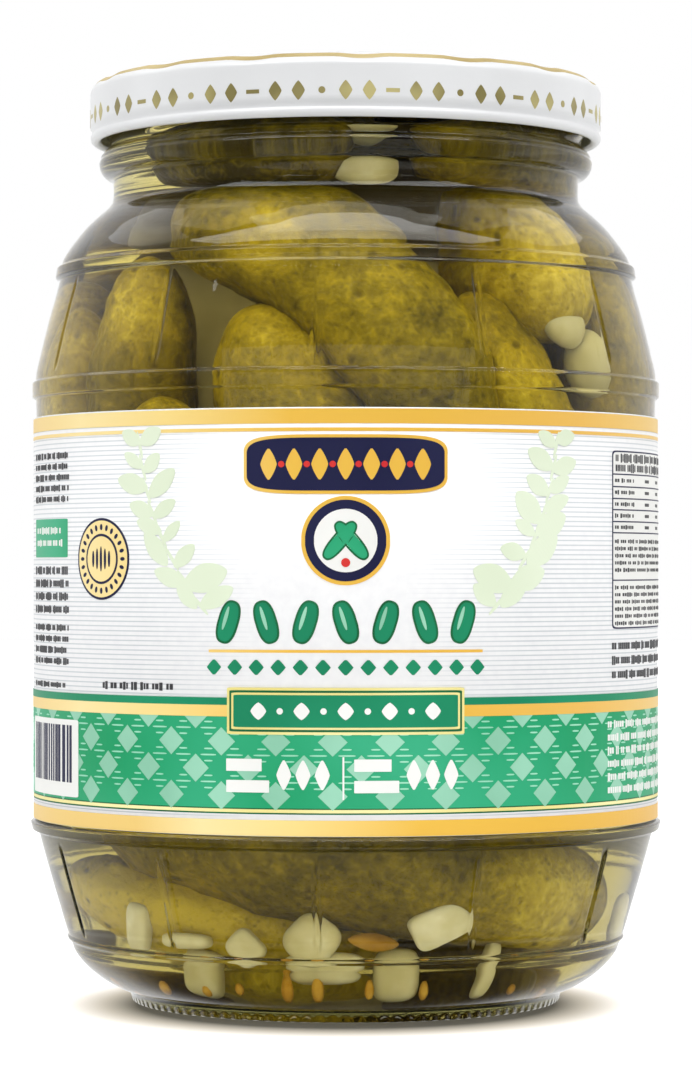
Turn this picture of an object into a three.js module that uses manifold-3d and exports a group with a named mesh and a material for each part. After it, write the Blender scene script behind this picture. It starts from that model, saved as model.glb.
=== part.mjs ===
// A shut glass jar of whole gherkins: barrel-shaped jar, twist-off lid, wrap-round label and the heap inside.
// Millimetres, +Z up, origin on the ground below the jar's axis, the front of the label towards -Y.

import * as THREE from 'three';
import { mergeVertices } from 'three/addons/utils/BufferGeometryUtils.js';
import Module from 'manifold-3d';

const wasm = await Module();
wasm.setup();

// Driving dimensions
const LID_RADIUS = 42.8;
const LID_TOP = 153.6;
const LID_BOTTOM = 143;
const LID_SHEET = 0.6;
const RIM_RADIUS = 38.4;
const PANEL_DROP = 1.1;
const BUTTON_RADIUS = 13;
const BUTTON_RISE = 0.5;

const WALL = 2.7;
const FOOT_RADIUS = 35.4;
const FOOT_WIDTH = 4.6;
const FOOT_HEIGHT = 1.9;
const PUSH_UP = 3;
const BASE_WALL = 2.6;
const HEEL_TOP = 9.3;
const HEEL_RADIUS = 45.7;
const HEEL_POWER = 1.43;
const BARREL_RADIUS = 51.8;
const LABEL_BOTTOM = 30.7;
const LABEL_TOP = 97;
const LABEL_THICKNESS = 0.3;
const CHEST_TOP = 120.2;
const CHEST_RADIUS = 47.9;
const NECK_BOTTOM = 133;
const NECK_RADIUS = 38.95;
const BEAD_HEIGHT = 139.6;
const BEAD_RADIUS = 41.3;
const FINISH_RADIUS = 39.5;
const MOUTH_TOP = 152.3;
const BORE_RADIUS = 36.2;

const GAP = 0.3;
const ROOM_GAP = 0.5;
const JAR_SIDES = 44;
const CORE_SIDES = 16;
const GHERKIN_SIDES = 9;
const GHERKIN_RINGS = 8;
const STEEPEST = 8;
const SEED = 7;

// The four raised hoops, from the heel up: middle height, width of the flat crest and rise
const HOOPS = [
  { z: 10.7, width: 0.4, rise: 0.35 },
  { z: 29.4, width: 1.4, rise: 1.05 },
  { z: 101.7, width: 2.4, rise: 0.6 },
  { z: 121.3, width: 1.6, rise: 0.75 },
];
const HOOP_EDGE = 0.5;

const materials = {
  glass: new THREE.MeshStandardMaterial({ color: 0xdfe6dc, roughness: 0.05, metalness: 0 }),
  lid: new THREE.MeshStandardMaterial({ color: 0xe4e4e0, roughness: 0.25, metalness: 0 }),
  label: new THREE.MeshStandardMaterial({ color: 0xf0f0ee, roughness: 0.45, metalness: 0 }),
  gherkin: new THREE.MeshStandardMaterial({ color: 0x8c7a22, roughness: 0.4, metalness: 0 }),
};

// A small seeded generator, uniform between low and high
function seededRange(seed) {
  let state = seed;
  return (low, high) => {
    state = (state * 16807) % 2147483647;
    return low + (high - low) * (state / 2147483647);
  };
}

// One closed solid from a geometry, with its shared corners merged
function solidOf(geometry) {
  const bare = geometry.clone();
  bare.deleteAttribute('normal');
  bare.deleteAttribute('uv');
  const merged = mergeVertices(bare, 1e-4);
  return new wasm.Manifold(new wasm.Mesh({
    numProp: 3,
    vertProperties: new Float32Array(merged.attributes.position.array),
    triVerts: new Uint32Array(merged.index.array),
  }));
}

function meshOf(name, solid, material) {
  const result = solid.getMesh();
  const geometry = new THREE.BufferGeometry();
  geometry.setAttribute('position', new THREE.BufferAttribute(result.vertProperties, 3));
  geometry.setIndex(new THREE.BufferAttribute(result.triVerts, 1));
  geometry.computeVertexNormals();
  const mesh = new THREE.Mesh(geometry, material);
  mesh.name = name;
  return mesh;
}

// Turns a profile of [radius, height] pairs about +Z
function turned(profile, sides = JAR_SIDES) {
  const points = profile.map(([r, z]) => new THREE.Vector2(r, z));
  return solidOf(new THREE.LatheGeometry(points, sides).rotateX(Math.PI / 2));
}

// Radius of the jar's outside without its hoops: heel, lower staves, straight label panel,
// upper staves, shoulder and neck
function bodyRadius(z) {
  const stations = [
    [HEEL_TOP, HEEL_RADIUS], [16, 47.9], [22, 49.6], [28.4, 51.3], [LABEL_BOTTOM, BARREL_RADIUS],
    [LABEL_TOP, BARREL_RADIUS], [104.2, 51.9], [112, 50.05], [CHEST_TOP, CHEST_RADIUS], [124.6, 46.7],
    [127.6, 44.5], [130.7, 41.5], [NECK_BOTTOM, NECK_RADIUS],
  ];
  for (let i = 1; i < stations.length; i += 1) {
    const [lowZ, lowR] = stations[i - 1];
    const [highZ, highR] = stations[i];
    if (z <= highZ) {
      return lowR + (highR - lowR) * Math.max(0, (z - lowZ) / (highZ - lowZ));
    }
  }
  return NECK_RADIUS;
}

// The flare from the foot's short wall up to the heel: a quarter of a superellipse, nearly a chamfer
function heelProfile(steps) {
  const points = [[FOOT_RADIUS + 0.5, 0.6]];
  for (let i = 0; i <= steps; i += 1) {
    const angle = (i / steps) * Math.PI / 2;
    const r = FOOT_RADIUS + 0.8 + (HEEL_RADIUS - FOOT_RADIUS - 0.8) * Math.sin(angle) ** HEEL_POWER;
    const z = FOOT_HEIGHT + (HEEL_TOP - FOOT_HEIGHT) * (1 - Math.cos(angle) ** HEEL_POWER);
    points.push([r, z]);
  }
  return points;
}

// Four points that raise a flat-topped hoop on the body
function hoopProfile({ z, width, rise }) {
  const low = z - width / 2;
  const high = z + width / 2;
  return [
    [bodyRadius(low - HOOP_EDGE), low - HOOP_EDGE],
    [bodyRadius(low) + rise, low],
    [bodyRadius(high) + rise, high],
    [bodyRadius(high + HOOP_EDGE), high + HOOP_EDGE],
  ];
}

// The jar's outside, from the edge of the foot up to the top of the neck
function outsideProfile() {
  const [heelHoop, lowHoop, highHoop, chestHoop] = HOOPS.map(hoopProfile);
  const plain = (heights) => heights.map((z) => [bodyRadius(z), z]);
  return [
    ...heelProfile(5),
    ...heelHoop,
    ...plain([16, 22]),
    ...lowHoop,
    ...plain([LABEL_TOP]),
    ...highHoop,
    ...plain([112]),
    ...chestHoop,
    ...plain([124.6, 127.6, 130.7, NECK_BOTTOM]),
  ];
}

// The neck's transfer bead and the plain finish above it, up to the rounded mouth
function finishProfile() {
  return [
    [NECK_RADIUS, BEAD_HEIGHT - 2.6],
    [BEAD_RADIUS - 0.5, BEAD_HEIGHT - 1.5],
    [BEAD_RADIUS, BEAD_HEIGHT],
    [BEAD_RADIUS - 0.6, BEAD_HEIGHT + 1.4],
    [FINISH_RADIUS, BEAD_HEIGHT + 2.4],
    [FINISH_RADIUS, MOUTH_TOP - 0.9],
    [FINISH_RADIUS - 1, MOUTH_TOP],
    [BORE_RADIUS + 0.8, MOUTH_TOP],
    [BORE_RADIUS, MOUTH_TOP - 0.8],
  ];
}

// The jar's inside, from the bore down to the floor, set in from the outside by a clearance
function insideProfile(clearance) {
  const wall = WALL + clearance;
  const heights = [NECK_BOTTOM + 0.6, 130, 126.6, 123, CHEST_TOP - 1, 112, 104, LABEL_TOP, 33, 28, 22, 16];
  return [
    ...heights.map((z) => [bodyRadius(z) - wall, z]),
    [HEEL_RADIUS - wall - 1, 10.4 + clearance],
    [HEEL_RADIUS - wall - 4.4, 7 + clearance],
    [FOOT_RADIUS - wall - 0.4, PUSH_UP + BASE_WALL - 0.5 + clearance],
    [0, PUSH_UP + BASE_WALL + clearance],
  ];
}

function makeJar() {
  return turned([
    [0, PUSH_UP],
    [FOOT_RADIUS - FOOT_WIDTH - 2.6, PUSH_UP - 0.8],
    [FOOT_RADIUS - FOOT_WIDTH, 0],
    [FOOT_RADIUS, 0],
    ...outsideProfile(),
    ...finishProfile(),
    ...insideProfile(0),
  ]);
}

// Thin pressed lid: skirt with a rolled curl below, rounded shoulder, raised rim,
// sunk panel and a low round button in its middle
function makeLid() {
  const panel = LID_TOP - PANEL_DROP;
  const shoulder = LID_TOP - 1.6;
  const outer = [
    [0, panel + BUTTON_RISE],
    [BUTTON_RADIUS, panel + BUTTON_RISE],
    [BUTTON_RADIUS + 1.5, panel],
    [BORE_RADIUS - 2.2, panel],
    [BORE_RADIUS - 0.6, LID_TOP - 0.25],
    [RIM_RADIUS, LID_TOP],
    [RIM_RADIUS + 2.6, LID_TOP - 0.5],
    [LID_RADIUS - 0.5, shoulder],
    [LID_RADIUS, shoulder - 1.2],
    [LID_RADIUS, LID_BOTTOM + 0.8],
    [LID_RADIUS - 0.5, LID_BOTTOM],
  ];
  const inner = [
    [LID_RADIUS - 1.1, LID_BOTTOM],
    [LID_RADIUS - LID_SHEET, LID_BOTTOM + 1],
    [LID_RADIUS - LID_SHEET, shoulder - 1],
    [LID_RADIUS - 1.5, LID_TOP - 1.8],
    [RIM_RADIUS, LID_TOP - LID_SHEET],
    [BORE_RADIUS, LID_TOP - LID_SHEET - 0.2],
    [BORE_RADIUS - 1.4, panel - LID_SHEET],
    [BUTTON_RADIUS + 2, panel - LID_SHEET],
    [BUTTON_RADIUS + 0.5, panel + BUTTON_RISE - LID_SHEET],
    [0, panel + BUTTON_RISE - LID_SHEET],
  ];
  return turned([...outer, ...inner].reverse());
}

// Paper ring round the straight panel, a hair clear of the glass
function makeLabel() {
  const inside = BARREL_RADIUS + GAP;
  const outside = inside + LABEL_THICKNESS;
  return turned([
    [inside, LABEL_BOTTOM],
    [outside, LABEL_BOTTOM],
    [outside, LABEL_TOP],
    [inside, LABEL_TOP],
    [inside, LABEL_BOTTOM],
  ]);
}

// One gherkin: a blunt round profile along a bent centre line.
// Its radius at s (0 to 1) is half the thickness times (1 - |2s - 1|^3.2)^(1/2.1), fuller at one end.
// A line that strays less than STEEPEST sideways counts as upright.
function gherkin({ from, to, bow, thickness, taper = 0 }) {
  const profile = [];
  for (let i = 0; i <= GHERKIN_RINGS; i += 1) {
    const along = 0.5 - 0.5 * Math.cos((i / GHERKIN_RINGS) * Math.PI);
    const round = Math.max(0, 1 - Math.abs(2 * along - 1) ** 3.2) ** (1 / 2.1);
    const fuller = 1 + taper * (along - 0.5);
    profile.push(new THREE.Vector2(i % GHERKIN_RINGS === 0 ? 0 : 0.5 * thickness * round * fuller, along));
  }
  const geometry = new THREE.LatheGeometry(profile, GHERKIN_SIDES);
  const start = new THREE.Vector3(...from);
  const end = new THREE.Vector3(...to);
  const middle = start.clone().add(end).multiplyScalar(0.5).addScaledVector(new THREE.Vector3(...bow), 2);
  const line = new THREE.QuadraticBezierCurve3(start, middle, end);
  const level = end.clone().sub(start).cross(new THREE.Vector3(0, 0, 1));
  if (level.length() < STEEPEST) {
    level.set(1, 0, 0);
  }
  level.normalize();
  const position = geometry.attributes.position;
  for (let i = 0; i < position.count; i += 1) {
    const along = position.getY(i);
    const tangent = line.getTangent(along);
    const side = level.clone().addScaledVector(tangent, -tangent.dot(level)).normalize();
    const other = new THREE.Vector3().crossVectors(side, tangent);
    const place = line.getPoint(along)
      .addScaledVector(side, position.getX(i))
      .addScaledVector(other, position.getZ(i));
    position.setXYZ(i, place.x, place.y, place.z);
  }
  return solidOf(geometry);
}

// A point given by its azimuth (degrees from the front, turning to the right), radius and height
function around(azimuth, radius, z) {
  const turn = THREE.MathUtils.degToRad(azimuth);
  return [radius * Math.sin(turn), -radius * Math.cos(turn), z];
}

// The gherkins seen from the front, each placed by hand
const FRONT_GHERKINS = [
  { from: [-25, -21, 126], to: [18, -37, 89], bow: [4, -6, 8], thickness: 21.5, taper: 0.1 },
  { from: [-14, -33, 112.5], to: [16, -30, 44], bow: [-1, -4, 0], thickness: 23 },
  { from: [-28, -22, 122], to: [-24, -15, 56], bow: [-3, -2, 0], thickness: 16.5 },
  { from: [-37, -8, 113], to: [-37, -10, 44], bow: [-1, 0, 0], thickness: 20 },
  { from: [-27, -31, 99.5], to: [-28, -24, 36], bow: [-1, -2, 0], thickness: 19 },
  { from: [32, -28, 112], to: [6, 6, 116], bow: [1, 0, 5], thickness: 22 },
  { from: [35, -12, 123], to: [38, -8, 58], bow: [1, -1, 0], thickness: 19 },
  { from: [17, -29, 114.5], to: [37, -20, 58], bow: [2, -4, 0], thickness: 16.5 },
  { from: [-27, -13, 139.5], to: [2, -27, 139], bow: [-2, -4, 0], thickness: 15.5 },
  { from: [10, -27, 139], to: [33, 4, 139], bow: [4, -2, 0], thickness: 16 },
  { from: [-35, -19, 34], to: [39, -17, 18], bow: [2, -14.3, 1], thickness: 23, taper: -0.08 },
  { from: [-40, -9, 23], to: [6, -20, 13], bow: [-1, -9, -1], thickness: 16 },
  { from: [26, -8, 14], to: [-12, 4, 18], bow: [0, 0, 0], thickness: 16 },
];

// The gherkins of the sides and back: standing ones that lean either way, low ones lying round the base,
// and the few that lie across below the lid
function backGherkins() {
  const pick = seededRange(SEED);
  const list = [];
  for (let k = 0; k < 5; k += 1) {
    const azimuth = 112 + 35 * k;
    const lean = pick(6, 15) * (k % 2 === 0 ? 1 : -1);
    const top = pick(108, 121);
    list.push({
      from: around(azimuth + lean, 35, top),
      to: around(azimuth - lean, 36, top - pick(60, 74)),
      bow: around(azimuth, pick(0.5, 3), 0),
      thickness: pick(18.5, 23),
      taper: pick(-0.2, 0.2),
    });
  }
  list.push({ from: around(163, 30, 30), to: around(222, 34, 20), bow: around(190, 5, 0), thickness: 20 });
  list.push({ from: around(172, 20, 16), to: around(110, 22, 20), bow: around(140, 3, 0), thickness: 17 });
  list.push({ from: [31, 17, 128], to: [-14, 32, 121], bow: [3, 7, 0], thickness: 19 });
  list.push({ from: [-33, 16, 127], to: [-38, 20, 88], bow: [-3, 2, 0], thickness: 17 });
  list.push({ from: [-9, 17, 139], to: [28, 14, 137], bow: [0, 5, 0], thickness: 17 });
  list.push({ from: [-18, 4, 142], to: [24, -4, 144], bow: [0, 0, 0], thickness: 16 });
  list.push({ from: around(97, 31, 121), to: around(94, 33, 58), bow: [0, 0, 0], thickness: 17 });
  list.push({ from: around(192, 31, 128), to: around(228, 35, 100), bow: [0, 2, 0], thickness: 18 });
  return list;
}

// Cut onion: small slabs and dice, each with its sizes, its place and its turn
const ONIONS = [
  { size: [9, 5, 9], place: [3, -28, 136.5], turn: 0.2 },
  { size: [8, 5, 8], place: [36, -20, 104.5], turn: 0.9 },
  { size: [5, 5, 9], place: [41, -12, 104], turn: 0.4 },
  { size: [7, 4, 6], place: [32, -25, 110], turn: 0.7 },
  { size: [5, 5, 7], place: [-31, -25, 14], turn: 0.8 },
  { size: [8, 5, 4], place: [-24, -29, 12], turn: 0.5 },
  { size: [8, 6, 5], place: [-15, -31, 11], turn: 0.3 },
  { size: [10, 6, 9], place: [-7, -33, 11], turn: 0.1 },
  { size: [10, 6, 7], place: [14, -38, 15], turn: -0.3 },
  { size: [7, 6, 6], place: [7, -30, 9], turn: -0.1 },
  { size: [4, 4, 8], place: [20, -26, 10], turn: -0.6 },
  { size: [8, 6, 7], place: [40, -6, 17], turn: 1.3 },
];

function onion({ size, place, turn }) {
  const geometry = new THREE.BoxGeometry(...size);
  geometry.rotateX(0.4 * turn);
  geometry.rotateY(0.5 - turn);
  geometry.rotateZ(turn);
  geometry.translate(...place);
  return solidOf(geometry);
}

// The heap: a core with every gherkin and onion piece fused on, cut to the room inside the glass
function makePickles() {
  const core = turned([[0, 9], [17, 9], [19, 32], [26, 44], [26, 116], [15, 134], [13, 145], [0, 147]], CORE_SIDES);
  const pieces = [
    ...FRONT_GHERKINS.map(gherkin),
    ...backGherkins().map(gherkin),
    ...ONIONS.map(onion),
  ];
  let heap = core;
  for (const piece of pieces) {
    heap = heap.add(piece);
  }
  const bore = BORE_RADIUS - ROOM_GAP;
  const room = turned([
    ...insideProfile(ROOM_GAP).reverse(),
    [bore, NECK_BOTTOM + 1.6],
    [bore, 147],
    [0, 147],
  ]);
  const fitted = heap.intersect(room);
  const parts = fitted.decompose();
  return parts.reduce((largest, part) => (part.volume() > largest.volume() ? part : largest));
}

const jar = new THREE.Group();
jar.add(meshOf('jar', makeJar(), materials.glass));
jar.add(meshOf('lid', makeLid(), materials.lid));
jar.add(meshOf('label', makeLabel(), materials.label));
jar.add(meshOf('pickles', makePickles(), materials.gherkin));

export default jar;
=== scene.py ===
import itertools
import math

import bpy
import numpy as np
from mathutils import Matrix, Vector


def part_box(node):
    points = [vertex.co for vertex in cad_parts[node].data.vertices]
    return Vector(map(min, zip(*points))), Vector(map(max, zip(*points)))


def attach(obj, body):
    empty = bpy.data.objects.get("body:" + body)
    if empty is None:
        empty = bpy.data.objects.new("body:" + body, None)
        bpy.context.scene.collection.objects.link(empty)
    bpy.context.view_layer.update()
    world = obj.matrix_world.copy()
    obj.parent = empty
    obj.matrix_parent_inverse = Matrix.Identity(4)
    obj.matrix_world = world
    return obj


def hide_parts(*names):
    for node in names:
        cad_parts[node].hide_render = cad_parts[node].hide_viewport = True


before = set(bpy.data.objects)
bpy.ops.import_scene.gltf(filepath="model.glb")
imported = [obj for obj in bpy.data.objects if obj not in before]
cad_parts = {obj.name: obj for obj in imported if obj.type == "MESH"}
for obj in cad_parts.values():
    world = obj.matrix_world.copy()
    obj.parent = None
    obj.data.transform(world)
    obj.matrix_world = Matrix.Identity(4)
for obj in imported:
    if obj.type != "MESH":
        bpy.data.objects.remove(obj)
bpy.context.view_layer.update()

# Sizes in millimetres. The frame gives the outer sizes, and MM turns them into metres
MM = 0.001


def corner(node, which, axis):
    """One coordinate of a CAD node's lowest (0) or highest (1) corner, in millimetres."""
    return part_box(node)[which][axis] / MM


LID_RADIUS = corner("lid", 1, 0)
LID_TOP = corner("lid", 1, 2)
LID_LOW = corner("lid", 0, 2)
LABEL_LOW = corner("label", 0, 2)
LABEL_HIGH = corner("label", 1, 2)
MOUTH_TOP = corner("jar", 1, 2)

PANEL_RADIUS = 51.8
LABEL_FACE = 52.25
FOOT_RADIUS = 35.4
FOOT_HEIGHT = 1.9
FOOT_TEETH = 110
PUSH_UP = 3.0
HEEL_RADIUS = 45.7
HEEL_TOP = 9.3
HEEL_POWER = 1.43
NECK_TOP = 137.1
NECK_RADIUS = 38.95
BEAD_HEIGHT = 139.6
BEAD_HALF = 2.5
BEAD_RADIUS = 41.3
FINISH_RADIUS = 39.5
BORE_RADIUS = 36.2
RIM_RADIUS = 38.4
BRINE_REACH = 0.25
BRINE_TOP = 149.0

# Height and radius of the jar's outside, hoops apart
BODY = [
    (HEEL_TOP, HEEL_RADIUS), (12, 46.7), (16, 47.9), (22, 49.65), (28.4, 51.35), (LABEL_LOW, PANEL_RADIUS),
    (LABEL_HIGH, PANEL_RADIUS), (103.6, 51.9), (108, 51.05), (114, 49.55), (120.2, 47.9), (123, 47.5),
    (124.6, 46.7), (126.6, 45.25), (128.7, 43.55), (130.7, 41.45), (132.4, 39.55), (133.8, NECK_RADIUS),
    (NECK_TOP, NECK_RADIUS),
]

# Height and radius of the jar's inside
ROOM = [
    (7.0, 38.6), (10.4, 42.0), (16, 45.2), (22, 46.95), (28, 48.55), (33, 49.1), (LABEL_HIGH, 49.1),
    (104, 49.2), (112, 47.35), (119.2, 45.4), (123, 44.55), (126.6, 42.5), (130, 39.5), (133.6, 36.5),
    (136, BORE_RADIUS), (BRINE_TOP + 10, BORE_RADIUS),
]

# Raised hoops: middle height, half width and rise
HOOPS = [(10.7, 0.35, 0.35), (29.4, 0.9, 1.0), (101.7, 1.4, 0.6), (121.3, 1.0, 0.75)]
HOOP_EDGE = 0.55

# Grooves between the staves: how many, the first one's azimuth, and each band's heights and depth
STAVES = 12
FIRST_STAVE = -5.3
STAVE_BANDS = [(13.2, 26.3, 0.42), (105.6, 118.2, 0.24)]
STAVE_HALF = 0.75

THREADS = 6
THREAD_RISE = 1.0

CAMERA_DISTANCE = 631
CAMERA_HEIGHT = 72.4


def smooth(low, high, value):
    """The smooth step 3t^2 - 2t^3 from 0 at low to 1 at high."""
    t = np.clip((value - low) / (high - low), 0, 1)
    return t * t * (3 - 2 * t)


def through(stations, value):
    """A monotone cubic through (position, height) stations, of Hermite pieces with harmonic mean slopes."""
    x, y = np.array(stations, float).T
    step = np.diff(x)
    rise = np.diff(y) / step
    slope = np.zeros_like(x)
    product = rise[:-1] * rise[1:]
    total = rise[:-1] + rise[1:]
    slope[1:-1] = np.where(product > 0, 2 * product / np.where(total == 0, 1, total), 0)
    slope[0], slope[-1] = rise[0], rise[-1]
    value = np.clip(value, x[0], x[-1])
    i = np.clip(np.searchsorted(x, value, side="right") - 1, 0, len(x) - 2)
    t = (value - x[i]) / step[i]
    near = (1 + 2 * t) * (1 - t) ** 2 * y[i] + t * (1 - t) ** 2 * step[i] * slope[i]
    far = t * t * (3 - 2 * t) * y[i + 1] + t * t * (t - 1) * step[i] * slope[i + 1]
    return near + far


def noise(points, cell, seed):
    """Value noise from -1 to 1: random numbers on a cubic lattice of that cell, blended by smooth steps."""
    scaled = np.asarray(points, float) / cell
    base = np.floor(scaled).astype(np.int64)
    part = scaled - base
    part = part * part * (3 - 2 * part)
    total = np.zeros(scaled.shape[:-1])
    for offset in itertools.product((0, 1), repeat=3):
        x, y, z = np.moveaxis(base + offset, -1, 0)
        key = (x * 73856093) ^ (y * 19349663) ^ (z * 83492791) ^ (seed * 2654435)
        key = (key ^ (key >> 13)) * 1274126177 & 0x7FFFFFFF
        value = ((key ^ (key >> 11)) & 0xFFFF) / 0xFFFF
        share = np.where(np.array(offset) == 1, part, 1 - part)
        total += share[..., 0] * share[..., 1] * share[..., 2] * value
    return 2 * total - 1


def turned_points(radius, height, turn):
    """Points at radius r, height z and azimuth a: (r sin a, -r cos a, z), with a = 0 at the front."""
    height = np.broadcast_to(height, np.broadcast(radius, turn).shape)
    return np.stack([radius * np.sin(turn), -radius * np.cos(turn), height], axis=-1)


def full_turn(cols):
    """A row of evenly spaced azimuths all the way round."""
    return np.arange(cols)[None, :] * 2 * np.pi / cols


def turned_rings(pairs, turn):
    """One ring of points for each (radius, height) pair, all at the same azimuths."""
    radius, height = np.array(pairs, float).T
    wide = np.broadcast_to(radius[:, None], (len(radius), turn.shape[1]))
    return turned_points(wide, height[:, None], turn)


def ring_faces(rows, cols, wrap=False):
    """Quads between neighbouring rings of cols points. Each ring is closed, and on wrap the last one joins
    the first."""
    i = np.arange(rows if wrap else rows - 1)[:, None] * cols
    j = np.arange(cols)[None, :]
    up = (i + cols) % (rows * cols)
    right = (j + 1) % cols
    return np.stack([i + j, i + right, up + right, up + j], axis=-1).reshape(-1, 4)


def outward(points, faces):
    """The faces turned so that the surface's signed volume is positive. A repeated corner stays last."""
    a, b, c = points[faces[:, 0]], points[faces[:, 1]], points[faces[:, 2]]
    d = points[faces[:, 3]]
    volume = np.einsum("ij,ij->i", a, np.cross(b, c)).sum() + np.einsum("ij,ij->i", a, np.cross(c, d)).sum()
    return faces if volume > 0 else faces[:, [1, 0, 3, 2]]


def closed_skin(rings, poles=True):
    """A closed surface from an array of rings, with a fan round a pole at each end, or with the last ring
    joined to the first. A fan's triangles are quads whose last corner repeats."""
    rows, cols = rings.shape[:2]
    points = rings.reshape(-1, 3)
    faces = ring_faces(rows, cols, wrap=not poles)
    if poles:
        first, last = len(points), len(points) + 1
        points = np.vstack([points, rings[0].mean(axis=0), rings[-1].mean(axis=0)])
        j = np.arange(cols)
        k = (j + 1) % cols
        top = (rows - 1) * cols
        low_fan = np.stack([k, j, np.full(cols, first), np.full(cols, first)], axis=-1)
        high_fan = np.stack([top + j, top + k, np.full(cols, last), np.full(cols, last)], axis=-1)
        faces = np.vstack([faces, low_fan, high_fan])
    return points, outward(points, faces)


def joined(parts):
    """Several (points, faces) surfaces as one."""
    start = np.cumsum([0] + [len(points) for points, _ in parts[:-1]])
    return (
        np.vstack([points for points, _ in parts]),
        np.vstack([faces + shift for (_, faces), shift in zip(parts, start)]),
    )


def make_mesh(name, surface, material, attributes=None, rounded=True):
    """An object at the origin, from points in millimetres and quads. A quad whose last corner repeats is a
    triangle."""
    points, faces = surface
    flat = faces[:, 2] == faces[:, 3]
    sizes = np.where(flat, 3, 4)
    corners = faces.reshape(-1)[np.column_stack([np.ones((len(faces), 3), bool), ~flat]).reshape(-1)]
    mesh = bpy.data.meshes.new(name)
    mesh.vertices.add(len(points))
    mesh.vertices.foreach_set("co", (points * MM).astype(np.float32).reshape(-1))
    mesh.loops.add(len(corners))
    mesh.loops.foreach_set("vertex_index", corners.astype(np.int32))
    mesh.polygons.add(len(faces))
    mesh.polygons.foreach_set("loop_start", (np.cumsum(sizes) - sizes).astype(np.int32))
    mesh.polygons.foreach_set("use_smooth", np.full(len(faces), rounded))
    mesh.update(calc_edges=True)
    mesh.validate()
    for key, values in (attributes or {}).items():
        layer = mesh.attributes.new(key, "FLOAT", "POINT")
        layer.data.foreach_set("value", values.astype(np.float32))
    mesh.materials.append(material)
    piece = bpy.data.objects.new(name, mesh)
    bpy.context.collection.objects.link(piece)
    return piece


def settle(piece, slot, *nodes):
    """The piece rides on the one body and stands for the nodes named. The slot is not used."""
    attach(piece, "root")
    if nodes:
        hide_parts(*nodes)


class Nodes:
    """A short way to write a node tree: add makes a node and links or sets its inputs."""

    def __init__(self, name):
        self.material = bpy.data.materials.new(name)
        self.material.use_nodes = True
        self.tree = self.material.node_tree
        self.tree.nodes.clear()
        self.output = self.tree.nodes.new("ShaderNodeOutputMaterial")

    def add(self, kind, inputs=None, **settings):
        node = self.tree.nodes.new("ShaderNode" + kind)
        for key, value in settings.items():
            setattr(node, key, value)
        for key, value in (inputs or {}).items():
            if isinstance(value, bpy.types.NodeSocket):
                self.tree.links.new(value, node.inputs[key])
            else:
                node.inputs[key].default_value = value
        return node

    def place(self):
        """Object coordinates, in metres."""
        return self.add("TexCoord").outputs["Object"]

    def axes(self, vector):
        return self.add("SeparateXYZ", {0: vector}).outputs

    def span(self, value, low, high, first, last):
        """A number from first to last, by how far the value has come from low to high."""
        return self.add("MapRange", {0: value, 1: low, 2: high, 3: first, 4: last}).outputs[0]

    def cloud(self, vector, scale, detail, roughness=0.5):
        inputs = {"Vector": vector, "Scale": scale, "Detail": detail, "Roughness": roughness}
        return self.add("TexNoise", inputs).outputs["Fac"]

    def bump(self, height, strength, distance):
        return self.add("Bump", {"Strength": strength, "Distance": distance, "Height": height}).outputs[0]

    def maths(self, operation, *values):
        return self.add("Math", dict(enumerate(values)), operation=operation).outputs[0]

    def ramp(self, factor, stops):
        node = self.add("ValToRGB", {"Fac": factor})
        band = node.color_ramp
        while len(band.elements) < len(stops):
            band.elements.new(0.5)
        for element, (place, colour) in zip(band.elements, stops):
            element.position = place
            element.color = (*colour, 1)
        return node.outputs["Color"]

    def mix(self, factor, first, second, blend="MIX"):
        node = self.add("Mix", data_type="RGBA", blend_type=blend)
        for socket, value in zip((node.inputs[0], node.inputs[6], node.inputs[7]), (factor, first, second)):
            if isinstance(value, bpy.types.NodeSocket):
                self.tree.links.new(value, socket)
            else:
                socket.default_value = value if socket == node.inputs[0] else (*value, 1)
        return node.outputs[2]

    def finish(self, shader, inputs=None, socket="Surface"):
        """Link a shader, or one made from a kind and inputs, to the output, and give the material."""
        made = self.add(shader, inputs).outputs[0] if isinstance(shader, str) else shader
        self.tree.links.new(made, self.output.inputs[socket])
        return self.material


def srgb(code):
    """A colour written as six hex digits, as linear red, green and blue."""
    parts = [int(code[i:i + 2], 16) / 255 for i in (0, 2, 4)]
    return tuple(p / 12.92 if p <= 0.04045 else ((p + 0.055) / 1.055) ** 2.4 for p in parts)


# Jar glass

def body_radius(z):
    """Outside radius at height z: the curve through BODY plus hoops, each a flat top between smooth steps."""
    radius = through(BODY, z)
    for middle, half, rise in HOOPS:
        away = np.abs(z - middle)
        radius = radius + rise * (1 - smooth(half - HOOP_EDGE / 2, half + HOOP_EDGE / 2, away))
    return radius


def stave_azimuths():
    return np.radians(FIRST_STAVE + np.arange(STAVES) * 360 / STAVES)


def stave_grooves(z, turn):
    """Depth of the grooves between staves: a rounded trough along a line segment, deepest on the segment."""
    depth = np.zeros(np.broadcast(z, turn).shape)
    for azimuth in stave_azimuths():
        across = (np.mod(turn - azimuth + np.pi, 2 * np.pi) - np.pi) * PANEL_RADIUS
        for low, high, deep in STAVE_BANDS:
            beyond = np.maximum(0, np.maximum(low - z, z - high))
            away = np.hypot(across, beyond)
            depth = depth + deep * (1 - smooth(0.3, STAVE_HALF, away))
    return depth


def thread_rise(z, turn):
    """Height of the finish's slanted lugs: ridges that climb 3 mm over 44 degrees, with faded ends."""
    rise = np.zeros(np.broadcast(z, turn).shape)
    for k in range(THREADS):
        start = math.radians(-55 + k * 360 / THREADS)
        along = np.mod(turn - start, 2 * np.pi) / math.radians(44)
        middle = 143.2 + 3.0 * along
        ends = smooth(0, 0.15, along) * (1 - smooth(0.85, 1, along))
        rise = rise + THREAD_RISE * ends * np.exp(-((z - middle) / 0.75) ** 2)
    return rise


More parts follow.
